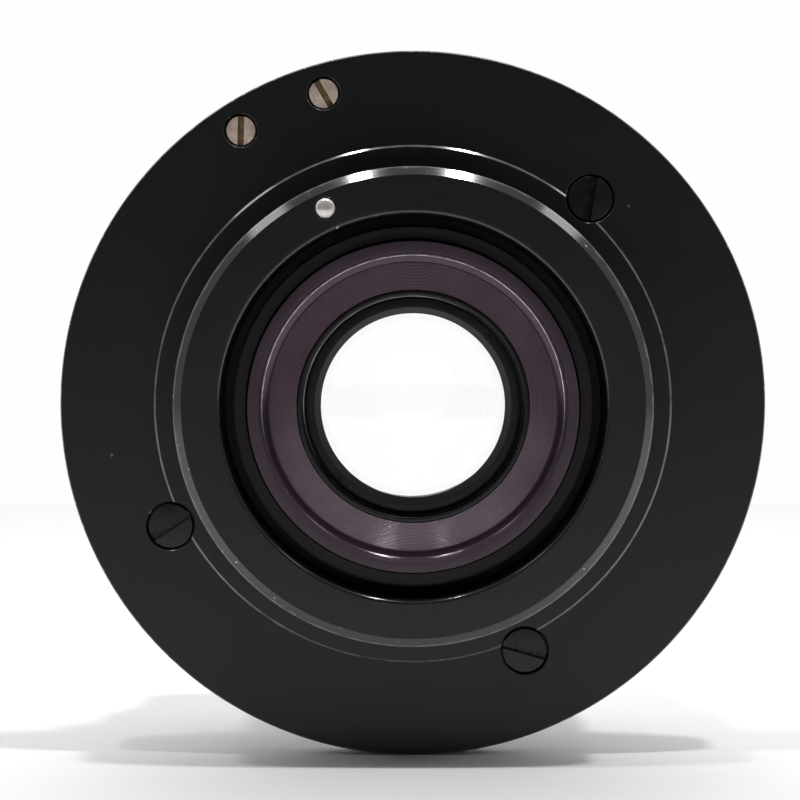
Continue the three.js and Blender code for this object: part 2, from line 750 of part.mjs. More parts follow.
function frontCellTube() {
  const { radius, rearY, seatY, ledgeY, flangeRadius, frontY } = frontCell;
  return turned([
    [frontGlass.clearRadius, rearY],
    [radius, rearY],
    [radius, ledgeY],
    [flangeRadius, ledgeY],
    [flangeRadius, frontY],
    [frontRing.radius + GAP, frontY],
    [frontRing.radius + GAP, ledgeY],
    [frontGlass.seatRadius, ledgeY],
    [frontGlass.seatRadius, seatY],
    [frontGlass.clearRadius, seatY],
  ]);
}

function trimRingGeometry() {
  const { outerRadius, innerRadius, outerY, innerY, backY } = trimRing;
  return turned([
    [innerRadius, backY],
    [outerRadius, backY],
    [outerRadius, outerY],
    [innerRadius, innerY],
  ]);
}

place('front_barrel', frontBarrelGeometry(), satinBlack);
place('front_cell', frontCellTube(), cellBlack);
place(
  'element_spacer',
  flatRing(frontGlass.clearRadius, frontGlass.radius, spacer.rearY, spacer.frontY),
  cellBlack,
);
place('front_retaining_ring', spannerRing(frontRing, 'front', 90), cellBlack);
place('front_trim_ring', trimRingGeometry(), satinBlack);

export default lens;
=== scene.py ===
"""Enlarging lens on its lens board, seen from the rear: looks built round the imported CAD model.

Lengths are in metres. The optical axis is Y, the rear of the lens faces -Y and +Z is up.
A bearing is an angle in degrees round the optical axis, from +X towards +Z. Outlines are lists
of (radius, y, fillet radius) corners, turned round the optical axis.
"""

import math
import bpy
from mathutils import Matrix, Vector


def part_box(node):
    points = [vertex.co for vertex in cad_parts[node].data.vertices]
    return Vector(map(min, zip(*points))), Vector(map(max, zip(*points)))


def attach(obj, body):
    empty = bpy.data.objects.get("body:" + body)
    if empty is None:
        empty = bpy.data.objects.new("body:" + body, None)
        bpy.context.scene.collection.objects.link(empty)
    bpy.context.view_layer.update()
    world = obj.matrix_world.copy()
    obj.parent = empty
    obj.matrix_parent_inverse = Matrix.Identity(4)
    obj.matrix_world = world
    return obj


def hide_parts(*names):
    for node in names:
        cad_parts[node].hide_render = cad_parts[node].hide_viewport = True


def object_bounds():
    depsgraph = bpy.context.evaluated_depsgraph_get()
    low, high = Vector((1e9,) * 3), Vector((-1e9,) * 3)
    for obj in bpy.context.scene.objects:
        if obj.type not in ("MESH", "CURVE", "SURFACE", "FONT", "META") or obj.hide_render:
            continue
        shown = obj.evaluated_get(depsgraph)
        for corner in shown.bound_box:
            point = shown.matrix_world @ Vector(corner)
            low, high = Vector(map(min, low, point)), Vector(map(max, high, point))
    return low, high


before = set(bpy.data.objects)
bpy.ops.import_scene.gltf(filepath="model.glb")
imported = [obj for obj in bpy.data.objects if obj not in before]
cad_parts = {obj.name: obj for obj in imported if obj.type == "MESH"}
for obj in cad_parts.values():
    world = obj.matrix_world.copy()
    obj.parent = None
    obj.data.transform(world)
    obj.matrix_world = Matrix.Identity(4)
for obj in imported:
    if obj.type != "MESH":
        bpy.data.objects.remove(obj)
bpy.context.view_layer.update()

from types import SimpleNamespace

import bmesh
import bpy
from mathutils import Matrix, Vector

MM = 0.001
SIDES = 240  # sides of the large turned pieces
FILLET_STEPS = 4
SHARP_ANGLE = math.radians(38)


def mm(*lengths):
    """Millimetres to metres, for one length or several."""
    scaled = tuple(length * MM for length in lengths)
    return scaled if len(scaled) > 1 else scaled[0]


def span(node):
    """Radius, rear and front of a turned CAD node, and its centre off the optical axis."""
    low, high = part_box(node)
    return SimpleNamespace(
        radius=(high.x - low.x) / 2,
        rear=low.y,
        front=high.y,
        x=(high.x + low.x) / 2,
        z=(high.z + low.z) / 2,
    )


def around(radius, bearing, y=0.0):
    """The point at a radius and bearing round the optical axis."""
    angle = math.radians(bearing)
    return Vector((radius * math.cos(angle), y, radius * math.sin(angle)))


# ---------------------------------------------------------------- mesh helpers


def mesh_object(name, vertices, faces):
    mesh = bpy.data.meshes.new(name)
    mesh.from_pydata([tuple(v) for v in vertices], [], faces)
    mesh.update()
    piece = bpy.data.objects.new(name, mesh)
    bpy.context.scene.collection.objects.link(piece)
    return piece


def filleted(outline, closed):
    """The outline with each corner that has a fillet radius replaced by a short arc."""
    points = []
    count = len(outline)
    for index, corner in enumerate(outline):
        here = Vector(corner[:2])
        radius = corner[2] if len(corner) > 2 else 0.0
        is_end = not closed and index in (0, count - 1)
        if not radius or is_end:
            points.append(here)
            continue
        before = (Vector(outline[index - 1][:2]) - here).normalized()
        after = (Vector(outline[(index + 1) % count][:2]) - here).normalized()
        half = before.angle(after) / 2
        reach = radius / math.tan(half)
        start = here + before * reach
        end = here + after * reach
        for step in range(FILLET_STEPS + 1):
            t = step / FILLET_STEPS
            points.append((1 - t) ** 2 * start + 2 * t * (1 - t) * here + t ** 2 * end)
    return points


def turned(name, outline, sides=SIDES, relief=None):
    """A piece turned round the optical axis, with its faces pointing out.

    relief(bearing, y) is taken off the radius there, in metres.
    """
    on_axis = outline[0][0] == 0 and outline[-1][0] == 0
    points = filleted(outline, closed=not on_axis)
    area = sum(
        a.x * b.y - b.x * a.y for a, b in zip(points, points[1:] + points[:1], strict=True)
    )
    if area < 0:
        points.reverse()
    vertices = []
    rings = []
    for point in points:
        if point.x < 1e-9:
            rings.append([len(vertices)] * sides)
            vertices.append((0.0, point.y, 0.0))
            continue
        rings.append(list(range(len(vertices), len(vertices) + sides)))
        for side in range(sides):
            bearing = 360 * side / sides
            radius = point.x - (relief(bearing, point.y) if relief else 0.0)
            vertices.append(around(radius, bearing, point.y))
    faces = []
    last = len(points) - 1 if on_axis else len(points)
    for index in range(last):
        low = rings[index]
        high = rings[(index + 1) % len(points)]
        for side in range(sides):
            following = (side + 1) % sides
            corners = [low[side], high[side], high[following], low[following]]
            kept = [c for i, c in enumerate(corners) if c != corners[i - 1]]
            faces.append(kept)
    return mesh_object(name, vertices, faces)


def place(piece, offset=(0, 0, 0), turn=None):
    """Moves the mesh itself, so that the object stays at the origin."""
    move = Matrix.Translation(Vector(offset))
    piece.data.transform(move @ turn if turn else move)
    return piece


def carved(piece, cutters):
    """The piece with closed cutter meshes taken out of it. The cutters are used up."""
    for cutter in cutters:
        modifier = piece.modifiers.new("carve", "BOOLEAN")
        modifier.operation = "DIFFERENCE"
        modifier.solver = "EXACT"
        modifier.object = cutter
    evaluated = piece.evaluated_get(bpy.context.evaluated_depsgraph_get())
    mesh = bpy.data.meshes.new_from_object(evaluated)
    piece.modifiers.clear()
    piece.data = mesh
    for cutter in cutters:
        bpy.data.objects.remove(cutter)
    return piece


def joined(piece, others):
    """The piece with the others' faces added to its own mesh. The others are used up."""
    gathered = bmesh.new()
    gathered.from_mesh(piece.data)
    for other in others:
        gathered.from_mesh(other.data)
        bpy.data.objects.remove(other)
    gathered.to_mesh(piece.data)
    gathered.free()
    return piece


def round_cutter(radius, rear, front, centre=(0, 0, 0), chamfer=None, sides=64):
    """A round cutter along Y. A chamfer (mouth, flare) widens it by flare where y = mouth."""
    outline = [(0, rear), (radius, rear), (radius, front), (0, front)]
    if chamfer:
        mouth, flare = chamfer
        outline = [
            (0, rear),
            (radius + flare + (mouth - rear), rear),
            (radius, mouth + flare),
            (radius, front),
            (0, front),
        ]
    return place(turned("cutter", outline, sides), (centre[0], 0, centre[2]))


def block(name, size, centre, turn=None):
    """A box, given by its full size and its centre."""
    x, y, z = (length / 2 for length in size)
    vertices = [(i * x, j * y, k * z) for i in (-1, 1) for j in (-1, 1) for k in (-1, 1)]
    faces = [(0, 1, 3, 2), (4, 6, 7, 5), (0, 4, 5, 1), (2, 3, 7, 6), (0, 2, 6, 4), (1, 5, 7, 3)]
    return place(mesh_object(name, vertices, faces), centre, turn)


def about_axis(bearing):
    """The turn that takes +X to a bearing round the optical axis."""
    return Matrix.Rotation(-math.radians(bearing), 4, "Y")


def spoke(piece, bearing, y):
    """Turns a piece made along Y from the origin so that it points out at a bearing."""
    outward = about_axis(bearing) @ Matrix.Rotation(math.radians(-90), 4, "Z")
    return place(piece, (0, y, 0), outward)


def spoke_cutter(radius, inner, outer, bearing, y):
    outline = [(0, inner), (radius, inner), (radius, outer), (0, outer)]
    return spoke(turned("cutter", outline, sides=48), bearing, y)


def ball_cutter(radius, centre):
    steps = 16
    angles = [math.pi * step / steps for step in range(steps + 1)]
    outline = [(radius * math.sin(angle), -radius * math.cos(angle)) for angle in angles]
    outline[0] = (0, -radius)
    outline[-1] = (0, radius)
    return place(turned("cutter", outline, sides=32), centre)


def prism(name, outline, rear, front):
    """A plate between two planes across the optical axis, from (x, z) outline points."""
    count = len(outline)
    vertices = [(x, y, z) for y in (rear, front) for x, z in outline]
    faces = [tuple(range(count)), tuple(range(2 * count - 1, count - 1, -1))]
    for i in range(count):
        j = (i + 1) % count
        faces.append((i, i + count, j + count, j))
    piece = mesh_object(name, vertices, faces)
    facing = bmesh.new()
    facing.from_mesh(piece.data)
    bmesh.ops.recalc_face_normals(facing, faces=facing.faces)
    facing.to_mesh(piece.data)
    facing.free()
    return piece


def arc(radius, start, end, steps):
    """Points in X and Z on a circle round the optical axis, between two bearings."""
    bearings = [start + (end - start) * step / steps for step in range(steps + 1)]
    return [(around(radius, b).x, around(radius, b).z) for b in bearings]


def shaded(piece, bevel=0.0):
    """Smooth shading with sharp corners, and small rounded edges where a bevel is given."""
    if bevel:
        rounding = piece.modifiers.new("edge", "BEVEL")
        rounding.width = bevel
        rounding.segments = 2
        rounding.limit_method = "ANGLE"
        rounding.angle_limit = SHARP_ANGLE
    piece.data.polygons.foreach_set("use_smooth", [True] * len(piece.data.polygons))
    piece.data.set_sharp_from_angle(angle=SHARP_ANGLE)
    normals = piece.modifiers.new("normals", "WEIGHTED_NORMAL")
    normals.keep_sharp = True
    return piece


def finished(piece, body, material, nodes, bevel=0.0, edge_material=None):
    """Shades a piece, gives it its material and ties it to the frame.

    edge_material goes on the faces that slope: chamfers, bevels and rounded corners.
    """
    shaded(piece, bevel)
    piece.data.materials.clear()
    piece.data.materials.append(material)
    if edge_material:
        piece.data.materials.append(edge_material)
        for face in piece.data.polygons:
            face.material_index = int(0.25 < abs(face.normal.y) < 0.97)
    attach(piece, body)
    if nodes:
        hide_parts(*nodes)
    return piece


def painted(piece):
    piece.data.materials.clear()
    piece.data.materials.append(paint)
    return piece


def dress(node, material):
    """Gives a CAD node that stays in view its procedural material."""
    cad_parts[node].data.materials.clear()
    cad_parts[node].data.materials.append(material)


# ---------------------------------------------------------------- materials

LIP_RADIUS = mm(16.38)  # the bare edge where the baffle's bowl begins
LIP_Y = mm(-6.3)
BOWL_HEEL = mm(15.6)  # where the slope inside the lip meets the bowl's shallow floor
GROOVE_PITCH = mm(0.155)  # of the fine grooves in that floor
CELL_LEDGE = SimpleNamespace(radius=mm(11.92), width=mm(0.08), y=mm(-2.85))


class Nodes:
    """Short calls for building one material's node tree."""

    def __init__(self, name):
        self.material = bpy.data.materials.new(name)
        self.material.use_nodes = True
        self.tree = self.material.node_tree
        self.surface = self.tree.nodes["Principled BSDF"]

    def add(self, kind, inputs=None, **settings):
        node = self.tree.nodes.new(kind)
        for name, value in settings.items():
            setattr(node, name, value)
        for key, value in (inputs or {}).items():
            self.put(node.inputs[key], value)
        return node

    def put(self, socket, value):
        if isinstance(value, bpy.types.NodeSocket):
            self.tree.links.new(value, socket)
        else:
            socket.default_value = value

    def math(self, operation, a, b=0.0, clamp=False):
        return self.add("ShaderNodeMath", {0: a, 1: b}, operation=operation, use_clamp=clamp).outputs[0]

    def ramp(self, value, low, high, to_low=0.0, to_high=1.0):
        inputs = {"Value": value, "From Min": low, "From Max": high, "To Min": to_low, "To Max": to_high}
        return self.add("ShaderNodeMapRange", inputs, clamp=True).outputs[0]

    def mix(self, factor, a, b):
        node = self.add("ShaderNodeMix", data_type="RGBA")
        self.put(node.inputs["Factor"], factor)
        self.put(node.inputs[6], a)
        self.put(node.inputs[7], b)
        return node.outputs[2]

    def place(self):
        """Object coordinates, the distance from the optical axis and the position along it."""
        here = self.add("ShaderNodeTexCoord").outputs["Object"]
        split = self.add("ShaderNodeSeparateXYZ", {0: here})
        across = self.add("ShaderNodeCombineXYZ", {0: split.outputs[0], 2: split.outputs[2]})
        return here, self.length(across), split.outputs[1]

    def length(self, vector):
        return self.add("ShaderNodeVectorMath", {0: vector.outputs[0]}, operation="LENGTH").outputs["Value"]

    def distance_from(self, here, centre):
        """The distance from a line along Y through a centre, given as (x, z)."""
        moved = self.add("ShaderNodeVectorMath", {0: here, 1: (-centre[0], 0, -centre[1])}, operation="ADD")
        split = self.add("ShaderNodeSeparateXYZ", {0: moved.outputs[0]})
        across = self.add("ShaderNodeCombineXYZ", {0: split.outputs[0], 2: split.outputs[2]})
        return self.length(across)

    def noise(self, where, scale, detail=3.0, roughness=0.5):
        inputs = {"Vector": where, "Scale": scale, "Detail": detail, "Roughness": roughness}
        return self.add("ShaderNodeTexNoise", inputs).outputs["Fac"]

    def rings(self, along, scale, detail=2.0):
        """Noise in one dimension: marks left by a turning tool."""
        inputs = {"W": along, "Scale": scale, "Detail": detail}
        return self.add("ShaderNodeTexNoise", inputs, noise_dimensions="1D").outputs["Fac"]

    def bump(self, height, strength, distance, normal=None):
        inputs = {"Height": height, "Strength": strength, "Distance": distance}
        if normal:
            inputs["Normal"] = normal
        return self.add("ShaderNodeBump", inputs).outputs["Normal"]

    def set(self, **values):
        for name, value in values.items():
            self.put(self.surface.inputs[name.replace("_", " ")], value)
        return self.material


def grey(value, tint=(1.0, 1.0, 1.0)):
    return (value * tint[0], value * tint[1], value * tint[2], 1.0)


def anodised(name, base, roughness=0.42, worn=(), turning=0.35, dust=0.0, chips=0.0, level=0.5):
    """Black anodised aluminium: turning marks, faint patches, dust, and wear on its edges.

    worn lists the radii of edges where the finish has gone thin, in metres. chips is the share
    of the surface where it has come off in small flecks.
    """
    nodes = Nodes(name)
    here, radius, along = nodes.place()
    path = nodes.math("ADD", radius, along)
    marks = nodes.rings(path, 3200.0)
    patches = nodes.noise(here, 90.0, detail=5.0, roughness=0.6)
    grain = nodes.noise(here, 9000.0, detail=2.0)
    shade = nodes.math("ADD", nodes.math("MULTIPLY", marks, 0.35), nodes.math("MULTIPLY", patches, 0.65))
    colour = nodes.mix(nodes.ramp(shade, 0.3, 0.7), base, tuple(c * 1.25 for c in base[:3]) + (1.0,))
    if dust:
        specks = nodes.add("ShaderNodeTexVoronoi", {"Vector": here, "Scale": 420.0}).outputs
        lottery = nodes.add("ShaderNodeSeparateColor", {0: specks["Color"]}).outputs[0]
        size = nodes.ramp(lottery, 1.0 - dust, 1.0, 0.0, 0.13)
        speck = nodes.math("LESS_THAN", specks["Distance"], size)
        colour = nodes.mix(nodes.math("MULTIPLY", speck, 0.55), colour, grey(0.30))
    if chips:
        flecks = nodes.math("GREATER_THAN", nodes.noise(here, 1300.0, detail=3.0), 0.74 - chips)
        colour = nodes.mix(nodes.math("MULTIPLY", flecks, 0.8), colour, grey(0.55))
    for edge in worn:
        distance = nodes.math("ABSOLUTE", nodes.math("SUBTRACT", radius, edge))
        ragged = nodes.math("MULTIPLY", nodes.noise(here, 700.0, detail=4.0), mm(0.5))
        close = nodes.ramp(nodes.math("SUBTRACT", distance, ragged), mm(-0.2), mm(-0.08), 1.0, 0.0)
        colour = nodes.mix(nodes.math("MULTIPLY", close, 0.6), colour, grey(0.22, (1.0, 0.98, 0.95)))
    rough = nodes.ramp(nodes.math("ADD", marks, patches), 0.6, 1.4, roughness * 0.87, roughness * 1.15)
    normal = nodes.bump(marks, turning, mm(0.006))
    normal = nodes.bump(grain, 0.25, mm(0.004), normal)
    nodes.set(Base_Color=colour, Roughness=rough, Normal=normal, Specular_IOR_Level=level)
    return nodes.material


def blackened_screw(name, centre, face):
    """A blackened screw head turned round its own centre, with a scratched slot whose floor is painted dark
    as painted shade.
    """
    nodes = Nodes(name)
    here, _, along = nodes.place()
    marks = nodes.rings(nodes.distance_from(here, centre), 3200.0)
    scratches = nodes.ramp(nodes.noise(here, 2600.0, detail=5.0, roughness=0.7), 0.48, 0.62)
    patches = nodes.noise(here, 500.0, detail=4.0)
    head = nodes.mix(nodes.ramp(patches, 0.3, 0.7), grey(0.0035), grey(0.0085))
    # Painted shade: the slot's floor is painted darker than the head, with real scratches in it.
    slot = nodes.mix(scratches, grey(0.0015), grey(0.060))
    deep = nodes.math("GREATER_THAN", along, face + mm(0.12))
    off_face = nodes.math("ABSOLUTE", nodes.math("SUBTRACT", along, face))
    at_edge = nodes.math("GREATER_THAN", nodes.math("SUBTRACT", off_face, mm(0.035)), 0.0)
    rubbed = nodes.math("MULTIPLY", at_edge, scratches)
    colour = nodes.mix(deep, nodes.mix(nodes.math("MULTIPLY", rubbed, 0.4), head, grey(0.10)), slot)
    rough = nodes.ramp(patches, 0.3, 0.7, 0.32, 0.44)
    normal = nodes.bump(marks, 0.8, mm(0.006))
    return nodes.set(Base_Color=colour, Roughness=rough, Normal=normal)


def turned_metal(
    name,
    colour,
    tarnish,
    roughness,
    centre=(0, 0),
    scale=2500.0,
    strength=0.2,
    metallic=1.0,
    dirt_from=None,
):
    """Bare metal with concentric tool marks round its own centre and patches of tarnish.

    dirt_from is the y beyond which a slot's floor is full of dried wax and dirt.
    """
    nodes = Nodes(name)
    here, _, along = nodes.place()
    marks = nodes.rings(nodes.distance_from(here, centre), scale, detail=3.0)
    stain = nodes.noise(here, 1100.0, detail=6.0, roughness=0.65)
    blend = nodes.ramp(nodes.math("ADD", stain, nodes.math("MULTIPLY", marks, 0.35)), 0.5, 0.85)
    rough = nodes.ramp(stain, 0.35, 0.7, roughness, roughness + 0.18)
    normal = nodes.bump(marks, strength, mm(0.02))
    surface = nodes.mix(blend, colour, tarnish)
    if dirt_from is not None:
        lumps = nodes.mix(nodes.ramp(stain, 0.3, 0.7), (0.62, 0.46, 0.24, 1), (0.16, 0.11, 0.06, 1))
        dirty = nodes.math("GREATER_THAN", along, dirt_from)
        surface = nodes.mix(dirty, surface, lumps)
    nodes.set(Base_Color=surface, Roughness=rough, Normal=normal)
    nodes.surface.inputs["Metallic"].default_value = metallic
    return nodes.material


def bare_edge(nodes, radius, along, edge_radius, edge_y, reach):
    """One inside a ring where an edge has worn to bare metal, and nought elsewhere."""
    off = nodes.math("ABSOLUTE", nodes.math("SUBTRACT", radius, edge_radius))
    deep = nodes.math("ABSOLUTE", nodes.math("SUBTRACT", along, edge_y))
    return nodes.math("LESS_THAN", nodes.math("MAXIMUM", off, deep), reach)


def faded_purple():
    """Black anodising faded to purple, with a bright edge where the bowl begins.

    The bowl is painted lighter towards its lower half, as painted light from the lamps above; the floors of
    its grooves are painted darker, as painted shade; and the bare lip edge is painted mostly on the upper
    half, as a painted highlight.
    """
    nodes = Nodes("faded_purple")
    here, radius, along = nodes.place()
    marks = nodes.rings(nodes.math("ADD", radius, along), 5200.0, detail=3.0)
    patches = nodes.noise(here, 160.0, detail=5.0, roughness=0.6)
    tone = nodes.ramp(nodes.math("ADD", nodes.math("MULTIPLY", marks, 0.4), patches), 0.45, 0.95)
    rim = nodes.mix(tone, (0.052, 0.034, 0.048, 1.0), (0.080, 0.053, 0.073, 1.0))
    height = nodes.add("ShaderNodeSeparateXYZ", {0: here}).outputs[2]
    # Painted light: the bowl's colour grows lighter towards its lower half, where the lamps above light it.
    lower_half_light = nodes.ramp(height, mm(3), mm(-12))
    clean = nodes.mix(tone, (0.135, 0.088, 0.118, 1.0), (0.195, 0.127, 0.170, 1.0))
    lit_lower_bowl = nodes.mix(tone, (0.290, 0.215, 0.270, 1.0), (0.400, 0.297, 0.372, 1.0))
    bowl = nodes.mix(lower_half_light, clean, lit_lower_bowl)
    # Painted shade: the floors of the grooves are painted darker, where shade falls in them.
    groove_shade = nodes.math("SINE", nodes.math("MULTIPLY", radius, 2 * math.pi / GROOVE_PITCH))
    bowl = nodes.mix(nodes.ramp(groove_shade, -0.6, 0.6, 0.0, 0.55), bowl, (0.034, 0.021, 0.029, 1.0))
    in_bowl = nodes.ramp(along, LIP_Y - mm(0.6), LIP_Y)
    colour = nodes.mix(in_bowl, rim, bowl)
    slope = nodes.ramp(radius, BOWL_HEEL - mm(0.15), BOWL_HEEL + mm(0.15))
    slope = nodes.math("MULTIPLY", slope, in_bowl)
    colour = nodes.mix(slope, colour, (0.090, 0.060, 0.081, 1.0))
    edge = bare_edge(nodes, radius, along, LIP_RADIUS - mm(0.045), LIP_Y + mm(0.045), mm(0.042))
    scuffs = nodes.ramp(nodes.noise(here, 900.0, detail=4.0), 0.3, 0.6, 0.35, 1.0)
    # Painted highlight: the worn bare edge is painted mostly on the upper half, where it catches the light.
    lit_upper_half = nodes.ramp(height, mm(-5), mm(1), 0.12, 1.0)
    worn_and_lit = nodes.math("MULTIPLY", nodes.math("MULTIPLY", edge, scuffs), lit_upper_half)
    colour = nodes.mix(worn_and_lit, colour, (0.62, 0.60, 0.61, 1.0))
    specks = nodes.math("GREATER_THAN", nodes.noise(here, 1500.0, detail=1.0), 0.79)
    colour = nodes.mix(nodes.math("MULTIPLY", specks, 0.5), colour, grey(0.30))
    rough = nodes.ramp(patches, 0.3, 0.7, 0.12, 0.15)
    rough = nodes.math("ADD", rough, nodes.math("MULTIPLY", nodes.math("SUBTRACT", 1.0, in_bowl), 0.16))
    normal = nodes.bump(marks, 0.3, mm(0.006))
    normal = nodes.bump(nodes.noise(here, 18000.0, detail=1.0), in_bowl, mm(0.004), normal)
    metal = nodes.math("MAXIMUM", worn_and_lit, nodes.math("MULTIPLY", slope, 0.7))
    nodes.set(Base_Color=colour, Metallic=metal, Roughness=rough, Normal=normal, Specular_IOR_Level=0.35)
    return nodes.material


def cell_lacquer():
    """The matt black of the cells and the iris, with one ledge painted as bare metal along its upper left
    side only: partly wear, partly a painted highlight.
    """
    nodes = Nodes("cell_black")
    here, radius, along = nodes.place()
    marks = nodes.rings(nodes.math("ADD", radius, along), 4200.0)
    patches = nodes.noise(here, 400.0, detail=4.0)
    colour = nodes.mix(patches, grey(0.0035), grey(0.007))
    middle = CELL_LEDGE.radius + CELL_LEDGE.width / 2
    edge = bare_edge(nodes, radius, along, middle, CELL_LEDGE.y - CELL_LEDGE.width / 2, mm(0.06))
    split = nodes.add("ShaderNodeSeparateXYZ", {0: here}).outputs
    # Painted highlight: the bare ledge is kept to the upper left side, where it catches the light.
    side = nodes.ramp(nodes.math("SUBTRACT", split[2], split[0]), mm(4), mm(12))
    scuffs = nodes.ramp(patches, 0.35, 0.6, 0.4, 1.0)
    worn_and_lit = nodes.math("MULTIPLY", nodes.math("MULTIPLY", edge, side), scuffs)
    colour = nodes.mix(worn_and_lit, colour, grey(0.7))
    rough = nodes.ramp(patches, 0.3, 0.7, 0.27, 0.38)
    normal = nodes.bump(marks, 0.3, mm(0.006))
    nodes.set(Base_Color=colour, Metallic=worn_and_lit, Roughness=rough, Normal=normal)
    return nodes.material


def optical_glass(index):
    nodes = Nodes("optical_glass")
    here = nodes.place()[0]
    smear = nodes.noise(here, 60.0, detail=3.0)
    nodes.set(
        Base_Color=(1.0, 1.0, 0.997, 1.0),
        Transmission_Weight=1.0,
        Roughness=nodes.ramp(smear, 0.35, 0.8, 0.0, 0.006),
    )
    nodes.surface.inputs["IOR"].default_value = index
    nodes.surface.inputs["Specular IOR Level"].default_value = 0.2
    return nodes.material


def white_paint():
    nodes = Nodes("white_paint")
    here = nodes.place()[0]
    wear = nodes.noise(here, 2500.0, detail=4.0)
    clean = grey(0.72, (1, 0.99, 0.95))
    dirty = grey(0.42, (1, 0.97, 0.9))
    colour = nodes.mix(nodes.ramp(wear, 0.55, 0.75), clean, dirty)
    return nodes.set(Base_Color=colour, Roughness=0.6)


satin_black = anodised("satin_black", grey(0.0036), 0.42, dust=0.035, level=0.5)
worn_edge = anodised("worn_edge", grey(0.010), 0.30, [span("lens_board").radius], chips=0.10, level=0.8)
plain_black = anodised("plain_black", grey(0.0060), 0.38)
collar_black = anodised(
    "collar_black", grey(0.0092, (1.0, 0.76, 0.80)), 0.38, dust=0.04, turning=0.6, level=0.48
)
collar_edge = anodised(
    "collar_edge",
    grey(0.0120, (1.0, 0.90, 0.92)),
    0.125,
    [mm(25.7), mm(28.5)],
    turning=0.2,
    chips=0.02,
    level=0.9,
)
plum_black = anodised("plum_black", grey(0.038, (1.0, 0.90, 0.97)), 0.45, level=0.15)
ring_grey = anodised("ring_grey", grey(0.074, (1.0, 0.97, 0.97)), 0.60, level=0.2)
worn_slot = anodised("worn_slot", grey(0.040, (1.0, 0.82, 0.74)), 0.40, chips=0.08)
grip_black = anodised("grip_black", grey(0.0075), 0.34, dust=0.04, level=0.6)
bright_black = anodised("bright_black", grey(0.0090), 0.26, turning=0.6, level=0.8)
blade_steel = turned_metal("blade_steel", grey(0.10), grey(0.06), 0.38, strength=0.15)
ball_steel = turned_metal("ball_steel", grey(0.62), grey(0.45), 0.16, strength=0.1)
spring_steel = turned_metal("spring_steel", grey(0.42), grey(0.22), 0.28)
cell_black = cell_lacquer()
purple = faded_purple()
glass = optical_glass(1.6)
paint = white_paint()

# ---------------------------------------------------------------- lens board and collar

board = span("lens_board")
collar = span("mount_collar")
pin = span("locating_pin")
flange_radius = collar.radius + mm(0.2)
recess_radius = flange_radius + mm(0.01)
hub_bore = mm(24.8)
recess_depth = mm(3.0)
FLANGE_PROUD = mm(0.35)  # of the board's rear face

CLAMP_SLOTS = {"clamp_screw_1": 80, "clamp_screw_2": 33, "clamp_screw_3": -16}
INDEX_SLOTS = {"index_screw_1": 120, "index_screw_2": 88}
clamp_seat = SimpleNamespace(radius=mm(2.69), depth=mm(1.8), hole=mm(1.4))
index_seat = SimpleNamespace(radius=mm(1.84), depth=mm(1.8), hole=mm(1.15))


def clamp_seats(face):
    """Cutters for the three screw seats, each with a small chamfer at the face they open on."""
    return [
        round_cutter(
            clamp_seat.radius,
            face - mm(0.5),
            clamp_seat.depth,
            (span(node).x, 0, span(node).z),
            chamfer=(face, mm(0.07)),
        )
        for node in CLAMP_SLOTS
    ]


def lens_board():
    edge = mm(0.14)
    beyond = board.front + mm(1)
    disc = turned("board", [
        (hub_bore, recess_depth),
        (recess_radius, recess_depth),
        (recess_radius, 0.0),
        (board.radius - edge, board.rear, mm(0.03)),
        (board.radius, board.rear + edge, mm(0.03)),
        (board.radius, board.front - edge, mm(0.03)),
        (board.radius - edge, board.front, mm(0.03)),
        (hub_bore, board.front),
    ])
    cutters = clamp_seats(0.0)
    for node in CLAMP_SLOTS:
        screw = span(node)
        cutters.append(round_cutter(clamp_seat.hole, mm(1), beyond, (screw.x, 0, screw.z)))
    for node in INDEX_SLOTS:
        screw = span(node)
        centre = (screw.x, 0, screw.z)
        cutters.append(round_cutter(index_seat.radius, mm(-1), index_seat.depth, centre, (0.0, mm(0.06))))
        cutters.append(round_cutter(index_seat.hole, mm(1), beyond, centre))
    return carved(disc, cutters)


def mount_collar():
    mouth = mm(20.7)
    face = mm(24.8)
    wall = mm(25.75)
    bevel = mm(0.80)
    chamfer = SimpleNamespace(rise=mm(0.20), run=mm(0.24))
    hub = mm(24.6)
    flange_front = mm(2.8)
    thread_mouth = mm(-1)
    thread = mm(19.8)
    pin_hole = mm(1.17)
    ring = turned("collar", [
        (thread, collar.front),
        (hub, collar.front),
        (hub, flange_front),
        (flange_radius, flange_front),
        (flange_radius, chamfer.rise - FLANGE_PROUD),
        (flange_radius - chamfer.run, -FLANGE_PROUD, mm(0.05)),
        (wall, -FLANGE_PROUD, mm(0.1)),
        (wall, collar.rear + bevel, mm(0.10)),
        (face, collar.rear, mm(0.12)),
        (mouth, collar.rear, mm(0.45)),
        (mouth, thread_mouth),
        (thread, thread_mouth),
    ])
    centre = (pin.x, 0, pin.z)
    hole = round_cutter(pin_hole, collar.rear - mm(1), mm(-3), centre, (collar.rear, mm(0.06)))
    return carved(ring, [*clamp_seats(-FLANGE_PROUD), hole])


finished(
    lens_board(), "root", satin_black, ["lens_board"], edge_material=worn_edge
)
finished(
    mount_collar(), "root", collar_black, ["mount_collar"], edge_material=collar_edge
)

# ---------------------------------------------------------------- screws and pin

CLAMP_SCREW = SimpleNamespace(
    head_radius=mm(2.43), head_height=mm(1.5), shank_radius=mm(1.25), slot_width=mm(0.85)
)
INDEX_SCREW = SimpleNamespace(
    head_radius=mm(1.61), head_height=mm(1.3), shank_radius=mm(1.0), slot_width=mm(0.7)
)


